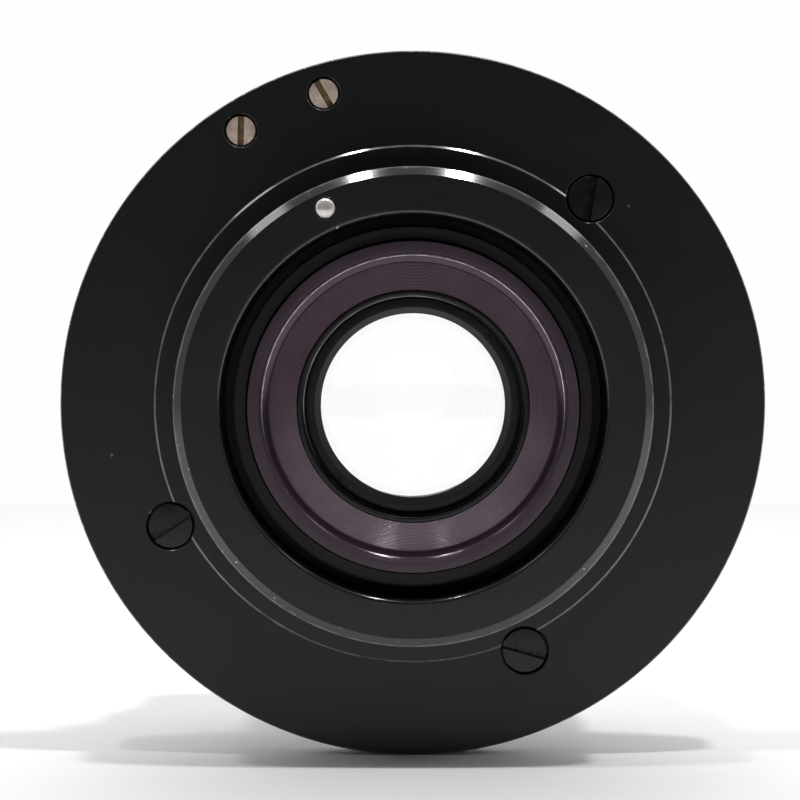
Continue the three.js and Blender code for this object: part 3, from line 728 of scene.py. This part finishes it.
def slotted_screw(name, node, shape, slot_bearing):
    """A slotted screw whose head faces the rear."""
    size = span(node)
    outline = [
        (0, size.rear),
        (shape.head_radius, size.rear, mm(0.09)),
        (shape.head_radius, size.rear + shape.head_height),
        (shape.shank_radius, size.rear + shape.head_height),
        (shape.shank_radius, size.front),
        (0, size.front),
    ]
    screw = turned(name, outline, sides=96)
    slot_depth = shape.head_height * 0.6
    cutter = block(
        "cutter",
        (3 * shape.head_radius, 2 * slot_depth, shape.slot_width),
        (0, size.rear, 0),
        about_axis(slot_bearing),
    )
    screw = carved(screw, [cutter])
    return place(screw, (size.x, 0, size.z))


for node, bearing in CLAMP_SLOTS.items():
    size = span(node)
    black = blackened_screw(f"{node}_black", (size.x, size.z), size.rear)
    screw = slotted_screw(f"{node}_piece", node, CLAMP_SCREW, bearing)
    finished(screw, "root", black, [node], bevel=mm(0.03))

for node, bearing in INDEX_SLOTS.items():
    size = span(node)
    brass = turned_metal(
        f"{node}_brass",
        (1.0, 0.82, 0.70, 1),
        (0.66, 0.48, 0.38, 1),
        0.32,
        (size.x, size.z),
        scale=6000.0,
        strength=0.9,
        metallic=0.05,
        dirt_from=size.rear + mm(0.3),
    )
    screw = slotted_screw(f"{node}_piece", node, INDEX_SCREW, bearing)
    finished(screw, "root", brass, [node], bevel=mm(0.03))


def locating_pin():
    dome = mm(0.55)
    steps = 10
    curve = [
        (pin.radius * math.sin(angle), pin.rear + dome * (1 - math.cos(angle)))
        for angle in (math.pi / 2 * step / steps for step in range(steps + 1))
    ]
    curve[0] = (0, pin.rear)
    body = turned("pin", [*curve, (pin.radius, pin.front), (0, pin.front)], sides=96)
    return place(body, (pin.x, 0, pin.z))


pin_steel = turned_metal(
    "pin_steel",
    (0.96, 0.93, 0.88, 1),
    (0.74, 0.70, 0.64, 1),
    0.14,
    (pin.x, pin.z),
    scale=3000.0,
    strength=0.1,
    metallic=0.45,
)
finished(locating_pin(), "root", pin_steel, ["locating_pin"])

# ---------------------------------------------------------------- rear of the lens

barrel = span("lens_barrel")
baffle = span("rear_baffle")
cell = span("rear_cell")
THREAD_RADIUS = mm(19.5)
THROAT_RADIUS = mm(12.8)
BARREL_BORE = mm(18.1)
BOWL_THROAT = mm(12.66)
CELL_REAR = mm(-5.3)
CLICK = SimpleNamespace(bearing=180, y=mm(6.9), bore=mm(1), floor=mm(18), dimple=mm(1.05), centre=mm(21.85))


def lens_barrel():
    shoulder = mm(5.1)
    web = mm(8.1)
    floor = mm(-1.5)
    bore = mm(20.6)
    tube = turned("barrel", [
        (BARREL_BORE, barrel.rear, mm(0.06)),
        (THREAD_RADIUS, barrel.rear, mm(0.4)),
        (THREAD_RADIUS, shoulder),
        (barrel.radius, shoulder, mm(0.1)),
        (barrel.radius, barrel.front, mm(0.1)),
        (bore, barrel.front),
        (bore, web),
        (THROAT_RADIUS, web),
        (THROAT_RADIUS, floor),
        (BARREL_BORE, floor),
    ])
    click_bore = spoke_cutter(CLICK.bore, CLICK.floor, barrel.radius + mm(1), CLICK.bearing, CLICK.y)
    return carved(tube, [click_bore])


def bowl_points():
    """The baffle's bowl, a slope and a shallow floor, with the fine grooves the tool left in it."""
    heel = Vector((BOWL_HEEL, mm(-5.93)))
    throat = Vector((BOWL_THROAT, mm(-5.25)))
    depth = mm(0.060)
    per_groove = 6
    fall = (throat - heel).normalized()
    outward = Vector((-fall.y, fall.x))
    grooves = round((throat - heel).length / GROOVE_PITCH)
    points = [Vector((LIP_RADIUS - mm(0.09), LIP_Y + mm(0.09))), Vector((mm(15.88), mm(-6.02)))]
    for step in range(grooves * per_groove + 1):
        point = heel.lerp(throat, step / (grooves * per_groove))
        wave = 0.5 - 0.5 * math.cos(2 * math.pi * step / per_groove)
        points.append(point + outward * depth * wave)
    return [(point.x, point.y) for point in points]


def rear_baffle():
    return turned("baffle", [
        (BOWL_THROAT, baffle.front),
        (baffle.radius, baffle.front),
        (baffle.radius, baffle.rear, mm(0.12)),
        (LIP_RADIUS + mm(0.28), baffle.rear, mm(0.08)),
        (LIP_RADIUS + mm(0.1), baffle.rear + mm(0.5), mm(0.1)),
        (LIP_RADIUS, LIP_Y),
        *bowl_points(),
    ], sides=360)


def rear_cell():
    outer = mm(12.58)
    bore = mm(12.05)
    seat = mm(11.1)
    clear = mm(9.9)
    shoulder = mm(3.7)
    ring_stop = mm(-1.2)
    pitch = mm(0.45)
    depth = mm(0.05)
    thread = []
    for turn in range(4):
        y = CELL_REAR + mm(0.35) + turn * pitch
        thread += [(bore, y), (bore + depth, y + pitch / 2)]
    ledge = CELL_LEDGE.radius
    return turned("cell", [
        (bore, CELL_REAR, mm(0.14)),
        (outer, CELL_REAR, mm(0.14)),
        (outer, cell.front),
        (clear, cell.front),
        (clear, shoulder),
        (seat, shoulder),
        (seat, ring_stop),
        (ledge, ring_stop),
        (ledge, CELL_LEDGE.y),
        (ledge + CELL_LEDGE.width, CELL_LEDGE.y - CELL_LEDGE.width),
        (bore + depth, CELL_LEDGE.y - CELL_LEDGE.width),
        *thread[::-1],
    ])


def spanner_ring(name, node, hole_radius, face_radius, facing, slot_bearing):
    """A ring that holds glass in a cell, with a coned hole and two small spanner slots."""
    size = span(node)
    face = size.rear if facing < 0 else size.front
    back = size.front if facing < 0 else size.rear
    slot_depth = mm(0.6)
    slot_width = mm(0.9)
    ring = turned(name, [
        (hole_radius, back, mm(0.04)),
        (size.radius, back),
        (size.radius, face, mm(0.1)),
        (face_radius, face, mm(0.05)),
        (hole_radius, (face + back) / 2, mm(0.05)),
    ])
    slots = [
        block(
            "cutter",
            (size.radius - face_radius, 2 * slot_depth, slot_width),
            around(size.radius, bearing, face),
            about_axis(bearing),
        )
        for bearing in (slot_bearing, slot_bearing + 180)
    ]
    return carved(ring, slots)


def wear_slots(ring, node):
    """Gives the floors of a finished ring's slots, which face the rear, a worn finish."""
    below_face = span(node).rear + mm(0.3)
    ring.data.materials.append(worn_slot)
    for face in ring.data.polygons:
        if face.normal.y < -0.9 and face.center.y > below_face:
            face.material_index = len(ring.data.materials) - 1


finished(lens_barrel(), "root", plum_black, ["lens_barrel"])
finished(rear_baffle(), "root", purple, ["rear_baffle"])
finished(rear_cell(), "root", cell_black, ["rear_cell"])
rear_ring = spanner_ring("rear_ring", "rear_retaining_ring", mm(10.1), mm(10.75), -1, 44)
finished(rear_ring, "root", cell_black, ["rear_retaining_ring"], edge_material=ring_grey)
wear_slots(rear_ring, "rear_retaining_ring")

# ---------------------------------------------------------------- aperture ring

scale = span("scale_ring")
grip = span("aperture_ring_grip")
SCALE_BORE = mm(22.6)
SLEEVE = mm(24)
CONE_FOOT = Vector(mm(27.2, 8.4))  # (radius, y) at the skirt
CONE_TOP = Vector(mm(25.2, 11.2))
FIGURES = ("4", "5.6", "8", "11", "16", "22")
INDEX_BEARING = 114
INDEX_FRONT = mm(8.4)
CLICK_STEP = 10
GRIP_BORE = mm(24.3)
KNURL = SimpleNamespace(ribs=100, depth=mm(0.45), rear=mm(12.5), front=mm(18.3))
DRIVER = SimpleNamespace(bearing=20, y=mm(14.1), tip=mm(18.3), head_seat=mm(25.2), head_top=mm(26.2))
GRIP_SCREWS = {"grip_screw_1": 80, "grip_screw_2": 200, "grip_screw_3": 320}
GRIP_SCREW = SimpleNamespace(radius=mm(0.9), inner=mm(23.4), outer=mm(26), y=mm(16.6))


def screw_holes(inner):
    """Cutters for the grub screws and the driver screw, from an inner radius out."""
    holes = [
        spoke_cutter(GRIP_SCREW.radius + mm(0.08), inner, mm(30), bearing, GRIP_SCREW.y)
        for bearing in GRIP_SCREWS.values()
    ]
    holes.append(spoke_cutter(mm(0.9), inner, mm(30), DRIVER.bearing, DRIVER.y))
    return holes


def scale_ring():
    ring = turned("scale", [
        (SCALE_BORE, scale.rear),
        (scale.radius, scale.rear, mm(0.2)),
        (CONE_FOOT.x, CONE_FOOT.y, mm(0.08)),
        (CONE_TOP.x, CONE_TOP.y, mm(0.08)),
        (SLEEVE, CONE_TOP.y),
        (SLEEVE, scale.front),
        (SCALE_BORE, scale.front),
    ])
    dimples = [
        ball_cutter(CLICK.dimple, around(CLICK.centre, CLICK.bearing - stop * CLICK_STEP, CLICK.y))
        for stop in range(len(FIGURES))
    ]
    return carved(ring, [*screw_holes(mm(23.3)), *dimples])


def knurling(bearing, y):
    """Ribs along the grip, between the plain bands at its ends."""
    if not KNURL.rear < y < KNURL.front:
        return 0.0
    return KNURL.depth * (0.5 - 0.5 * math.cos(math.radians(bearing * KNURL.ribs)))


def knurled_grip():
    run_out = mm(0.1)  # of the ribs at their ends
    ring = turned("grip", [
        (GRIP_BORE, grip.rear),
        (grip.radius, grip.rear, mm(0.25)),
        (grip.radius, KNURL.rear - run_out),
        (grip.radius, KNURL.rear + run_out),
        (grip.radius, KNURL.front - run_out),
        (grip.radius, KNURL.front + run_out),
        (grip.radius, mm(18.6), mm(0.1)),
        (mm(25), grip.front, mm(0.15)),
        (GRIP_BORE, grip.front),
    ], sides=800, relief=knurling)
    cutters = screw_holes(mm(23))
    cutters.append(spoke_cutter(mm(1.55), DRIVER.head_seat, mm(30), DRIVER.bearing, DRIVER.y))
    return carved(ring, cutters)


def driver_screw():
    head = mm(1.42)
    shank = mm(0.8)
    peg = mm(0.6)
    shoulder = mm(21)
    screw = turned("driver", [
        (0, DRIVER.tip),
        (peg, DRIVER.tip),
        (peg, shoulder),
        (shank, shoulder),
        (shank, DRIVER.head_seat),
        (head, DRIVER.head_seat),
        (head, DRIVER.head_top, mm(0.12)),
        (0, DRIVER.head_top),
    ], 64)
    slot = block("cutter", (4 * head, mm(0.9), mm(0.4)), (0, DRIVER.head_top, 0))
    return spoke(carved(screw, [slot]), DRIVER.bearing, DRIVER.y)


def grub_screw(bearing):
    screw = turned("grub", [
        (0, GRIP_SCREW.inner),
        (GRIP_SCREW.radius, GRIP_SCREW.inner),
        (GRIP_SCREW.radius, GRIP_SCREW.outer, mm(0.1)),
        (0, GRIP_SCREW.outer),
    ], 48)
    slot = block("cutter", (4 * GRIP_SCREW.radius, mm(1), mm(0.3)), (0, GRIP_SCREW.outer, 0))
    return spoke(carved(screw, [slot]), bearing, GRIP_SCREW.y)


def on_cone(across, up, proud, bearing):
    """A point on the scale's cone: across and up a figure placed there, and proud of the metal."""
    slope = (CONE_TOP - CONE_FOOT).normalized()
    middle = (CONE_TOP + CONE_FOOT) / 2 - slope * up
    normal = Vector((slope.y, -slope.x))
    point = middle + normal * proud
    return around(point.x, bearing + math.degrees(across / middle.x), point.y)


def scale_figures():
    """The engraved and painted figures, bent round the cone, and a line on the skirt for each."""
    thickness = mm(0.015)
    pieces = []
    for index, figure in enumerate(FIGURES):
        bearing = INDEX_BEARING - index * CLICK_STEP
        text = bpy.data.curves.new("figure", "FONT")
        text.body = figure
        text.size = mm(2.3)
        text.extrude = thickness
        text.align_x = "CENTER"
        text.align_y = "CENTER"
        holder = bpy.data.objects.new("figure", text)
        mesh = bpy.data.meshes.new_from_object(holder)
        bpy.data.objects.remove(holder)
        for vertex in mesh.vertices:
            vertex.co = on_cone(vertex.co.x, vertex.co.y, vertex.co.z, bearing)
        piece = bpy.data.objects.new("figure", mesh)
        bpy.context.scene.collection.objects.link(piece)
        pieces.append(piece)
        tick = block("tick", (2 * thickness, mm(1.9), mm(0.22)), (scale.radius, mm(7.15), 0))
        pieces.append(place(tick, turn=about_axis(bearing)))
    return joined(pieces[0], pieces[1:])


def index_block():
    size = SimpleNamespace(inner=mm(32.6), outer=mm(38.2), nose=mm(27.9), rear=mm(5.0))
    body = 13.5  # half the angle it spans
    nose = 3.5
    outline = arc(size.outer, INDEX_BEARING - body, INDEX_BEARING + body, 28)
    outline += arc(size.inner, INDEX_BEARING + body, INDEX_BEARING + nose, 10)
    outline += arc(size.nose, INDEX_BEARING + nose, INDEX_BEARING - nose, 8)
    outline += arc(size.inner, INDEX_BEARING - nose, INDEX_BEARING - body, 10)
    plate = prism("index", outline, size.rear, INDEX_FRONT)
    holes = [
        round_cutter(mm(1.02), mm(4), mm(7.7), (span(node).x, 0, span(node).z), sides=32)
        for node in INDEX_SLOTS
    ]
    return carved(plate, holes)


def index_line():
    """The white line on the index block that the figures are read against."""
    length = mm(6)
    line = block("line", (length, mm(0.03), mm(0.45)), (mm(28.1) + length / 2, INDEX_FRONT, 0))
    return place(line, turn=about_axis(INDEX_BEARING))


finished(scale_ring(), "aperture_ring", plain_black, ["scale_ring"])
finished(
    knurled_grip(),
    "aperture_ring",
    grip_black,
    ["aperture_ring_grip"],
    edge_material=plain_black,
)
finished(driver_screw(), "aperture_ring", bright_black, ["iris_driver_screw"])
for node, bearing in GRIP_SCREWS.items():
    finished(grub_screw(bearing), "aperture_ring", bright_black, [node])
finished(index_block(), "root", grip_black, ["index_block"], bevel=mm(0.25))
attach(painted(scale_figures()), "aperture_ring")
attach(painted(index_line()), "root")

# ---------------------------------------------------------------- front of the lens

trim = span("front_trim_ring")
HOOD_RADIUS = mm(23.4)
HOOD_THREAD = mm(19.6)
HOOD_FLOOR = mm(27)


def front_barrel():
    size = span("front_barrel")
    pitch = mm(0.5)
    depth = mm(0.22)
    throat = mm(14)
    plug = mm(20.3)
    seat = SimpleNamespace(radius=mm(15.8), y=mm(25.8))
    flange = SimpleNamespace(rear=mm(20.8), step=mm(22.2), end=mm(22.7))
    groove = SimpleNamespace(y=mm(29.05), depth=mm(0.15))
    thread = []
    for turn in range(6):
        y = size.front - mm(0.55) - turn * pitch
        thread += [(HOOD_THREAD, y), (HOOD_THREAD + depth, y - pitch / 2)]
    return turned("front_barrel", [
        (throat, size.rear),
        (plug, size.rear),
        (plug, flange.rear),
        (size.radius, flange.rear, mm(0.1)),
        (size.radius, flange.step, mm(0.1)),
        (HOOD_RADIUS, flange.end, mm(0.1)),
        (HOOD_RADIUS, groove.y - groove.depth, mm(0.05)),
        (HOOD_RADIUS - groove.depth, groove.y, mm(0.04)),
        (HOOD_RADIUS, groove.y + groove.depth, mm(0.05)),
        (HOOD_RADIUS, size.front, mm(0.3)),
        (HOOD_THREAD + depth, size.front, mm(0.15)),
        (HOOD_THREAD, size.front - mm(0.4)),
        *thread,
        (HOOD_THREAD, HOOD_FLOOR),
        (seat.radius, HOOD_FLOOR),
        (seat.radius, seat.y),
        (throat, seat.y),
    ])


def front_trim_ring():
    """The ring round the front glass, with fine steps turned in its cone."""
    inner = Vector((mm(15.9), mm(27.9)))
    outer = Vector((trim.radius, mm(28.6)))
    steps = 9
    cone = []
    for step in range(steps):
        low = inner.lerp(outer, step / steps)
        high = inner.lerp(outer, (step + 0.85) / steps)
        cone += [(low.x, low.y), (high.x, high.y), (high.x + mm(0.02), low.y + mm(0.03))]
    return turned("trim", [(outer.x, trim.rear), (inner.x, trim.rear), *cone, (outer.x, outer.y)])


def front_cell():
    size = span("front_cell")
    outer = mm(13.7)
    clear = mm(9.6)
    seat = SimpleNamespace(radius=mm(10.5), y=mm(17.3))
    bore = mm(12.6)
    ledge = mm(26.1)
    return turned("front_cell", [
        (clear, size.rear),
        (outer, size.rear),
        (outer, ledge),
        (size.radius, ledge),
        (size.radius, size.front, mm(0.15)),
        (bore, size.front, mm(0.2)),
        (bore, ledge),
        (seat.radius, ledge),
        (seat.radius, seat.y),
        (clear, seat.y),
    ])


finished(
    front_barrel(), "root", plain_black, ["front_barrel"], edge_material=bright_black
)
finished(front_trim_ring(), "root", bright_black, ["front_trim_ring"])
finished(front_cell(), "root", cell_black, ["front_cell"])
front_ring = spanner_ring("front_ring", "front_retaining_ring", mm(10), mm(10.9), 1, 0)
finished(front_ring, "root", cell_black, ["front_retaining_ring"])

# ---------------------------------------------------------------- pieces kept from the CAD model

for node in ("element_spacer", "iris_housing", "iris_actuator_ring", "iris_retainer"):
    dress(node, cell_black)
for number in range(1, 7):
    dress(f"iris_blade_{number}", blade_steel)
dress("click_ball", ball_steel)
dress("click_spring", spring_steel)

# ---------------------------------------------------------------- glass


def sphere_face(edge_radius, edge_y, curve, bulge, steps=24):
    """Points of a spherical face from the axis to its edge. bulge is the vertex's side along Y."""
    drop = curve - math.sqrt(curve ** 2 - edge_radius ** 2)
    points = []
    for step in range(steps + 1):
        radius = edge_radius * step / steps
        sag = curve - math.sqrt(curve ** 2 - radius ** 2)
        points.append((radius, edge_y + bulge * (drop - sag)))
    return points


def element(name, nodes, rear, front):
    """A lens element from its rear and front faces, each (edge y, curve, bulge)."""
    edge = span(nodes[0]).radius
    outline = sphere_face(edge, *rear) + sphere_face(edge, *front)[::-1]
    piece = turned(name, outline, sides=160)
    return finished(piece, "root", glass, nodes)


element(
    "rear_doublet",
    ["rear_crown_element", "rear_flint_element"],
    (mm(-1.1), mm(34), -1),
    (mm(3.4), mm(150), -1),
)
element("middle_glass", ["middle_element"], (mm(17.6), mm(23), 1), (mm(22.5), mm(48), -1))
element("front_glass", ["front_element"], (mm(24.2), mm(300), -1), (mm(26.0), mm(24), 1))

# ---------------------------------------------------------------- camera, light and stage

CAMERA = Vector((-0.0015, -0.250, 0.0090))
AIM = Vector((-0.0014158, 0.0, 0.0005183))
FRAME_WIDTH = 0.088495  # seen across the image at the board
SENSOR = 36.0
LAMP_DISTANCE = 0.6
LAMP_LEAN = 7.5
KEY_SIZE = 0.042
FILL_SIZE = 0.12
KEY_LAMPS = {"key_right": (78, 290.0), "key_left": (103, 140.0)}  # (bearing, radiance)
FILL_LAMPS = {"fill_right": (50, 3.8), "fill_left": (129, 3.8)}
# (how far a direction leans to the back wall, from 0 to 1, and the room's brightness there)
ROOM = ((0.2, 0.06), (0.38, 0.20), (0.50, 0.45), (0.60, 0.60), (0.85, 0.70), (0.92, 1.0))
FLOOR_FRONT = -0.30
FLOOR_BACK = 0.35


def make_camera():
    data = bpy.data.cameras.new("camera")
    camera = bpy.data.objects.new("camera", data)
    bpy.context.scene.collection.objects.link(camera)
    sight = AIM - CAMERA
    camera.location = CAMERA
    camera.rotation_euler = sight.to_track_quat("-Z", "Y").to_euler()
    data.sensor_width = SENSOR
    data.lens = SENSOR * sight.length / FRAME_WIDTH
    data.clip_start = 0.01
    data.clip_end = 20.0
    bpy.context.scene.camera = camera


def round_lamp(name, location, size, radiance):
    """A disc of light that points at the lens. radiance is its brightness, where white is 1."""
    data = bpy.data.lights.new(name, "AREA")
    data.shape = "DISK"
    data.size = size
    data.energy = radiance * math.pi * math.pi * (size / 2) ** 2
    lamp = bpy.data.objects.new(name, data)
    bpy.context.scene.collection.objects.link(lamp)
    lamp.location = location
    lamp.rotation_euler = (-Vector(location)).to_track_quat("-Z", "Y").to_euler()


def overhead(bearing, forward):
    """A point above the lens at a bearing, leaning forward to the camera's side by an angle."""
    lean = math.radians(forward)
    across = around(LAMP_DISTANCE * math.cos(lean), bearing)
    return (across.x, -LAMP_DISTANCE * math.sin(lean), across.z)


def make_lights():
    for lamps, size in ((KEY_LAMPS, KEY_SIZE), (FILL_LAMPS, FILL_SIZE)):
        for name, (bearing, radiance) in lamps.items():
            round_lamp(name, overhead(bearing, LAMP_LEAN), size, radiance)
    round_lamp("back", (0.0, 0.35, 0.6), 0.5, 1.5)


def make_world():
    """A white room behind and beside the lens, and a dark one behind the camera."""
    world = bpy.data.worlds.new("room")
    bpy.context.scene.world = world
    world.use_nodes = True
    tree = world.node_tree
    way = tree.nodes.new("ShaderNodeTexCoord").outputs["Generated"]
    split = tree.nodes.new("ShaderNodeSeparateXYZ")
    tree.links.new(way, split.inputs[0])
    depth = tree.nodes.new("ShaderNodeFloatCurve")
    curve = depth.mapping.curves[0]
    curve.points[0].location = (0.0, 0.02)
    curve.points[1].location = (1.0, 1.0)
    for point in ROOM:
        curve.points.new(*point)
    depth.mapping.update()
    lean = tree.nodes.new("ShaderNodeMapRange")
    lean.inputs["From Min"].default_value = -1.0
    tree.links.new(split.outputs[1], lean.inputs["Value"])
    tree.links.new(lean.outputs[0], depth.inputs["Value"])
    bright = tree.nodes.new("ShaderNodeMath")
    bright.operation = "MULTIPLY"
    bright.inputs[1].default_value = 1.3
    tree.links.new(depth.outputs[0], bright.inputs[0])
    rays = tree.nodes.new("ShaderNodeLightPath")
    pale = tree.nodes.new("ShaderNodeMix")
    tree.links.new(rays.outputs["Is Camera Ray"], pale.inputs[0])
    tree.links.new(bright.outputs[0], pale.inputs[2])
    pale.inputs[3].default_value = 0.99
    background = tree.nodes["Background"]
    tree.links.new(pale.outputs[0], background.inputs["Strength"])
    background.inputs["Color"].default_value = (1, 1, 1, 1)


def make_stage():
    """A white table top under the board."""
    thickness = 0.03
    size = (4.0, FLOOR_BACK - FLOOR_FRONT, thickness)
    centre = (0, (FLOOR_BACK + FLOOR_FRONT) / 2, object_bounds()[0][2] - thickness / 2)
    table = block("table", size, centre)
    nodes = Nodes("table_white")
    here = nodes.place()[0]
    tone = nodes.noise(here, 8.0)
    nodes.set(Base_Color=nodes.mix(tone, grey(0.93), grey(0.95)), Roughness=0.6)
    table.data.materials.append(nodes.material)


make_camera()
make_lights()
make_world()
make_stage()
bpy.context.scene.view_settings.view_transform = "Standard"
